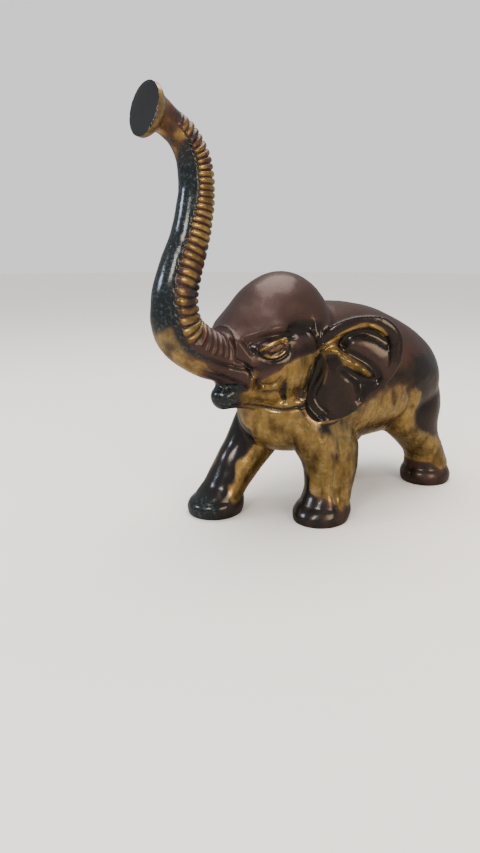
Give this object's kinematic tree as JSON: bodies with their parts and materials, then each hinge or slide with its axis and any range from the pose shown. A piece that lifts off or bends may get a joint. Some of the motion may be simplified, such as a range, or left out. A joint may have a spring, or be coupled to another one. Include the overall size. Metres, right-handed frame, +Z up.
{
  "type": "elephant sculpture",
  "caption": "Cast bronze elephant in mid stride, with a long ringed trunk raised and flared at its tip, and folded ears standing off its neck.",
  "frame": {"origin": "centre of the bounding box, in the plane of the four soles", "axes": "+Z up from the soles; the elephant faces -Y; its left side is +X"},
  "size_m": [0.1258, 0.2488, 0.2522],
  "materials": {
    "bronze": "polished cast bronze with a worn brown and black patina"
  },
  "bodies": {
    "root": {"elephant": "bronze"}
  },
  "joints": []
}
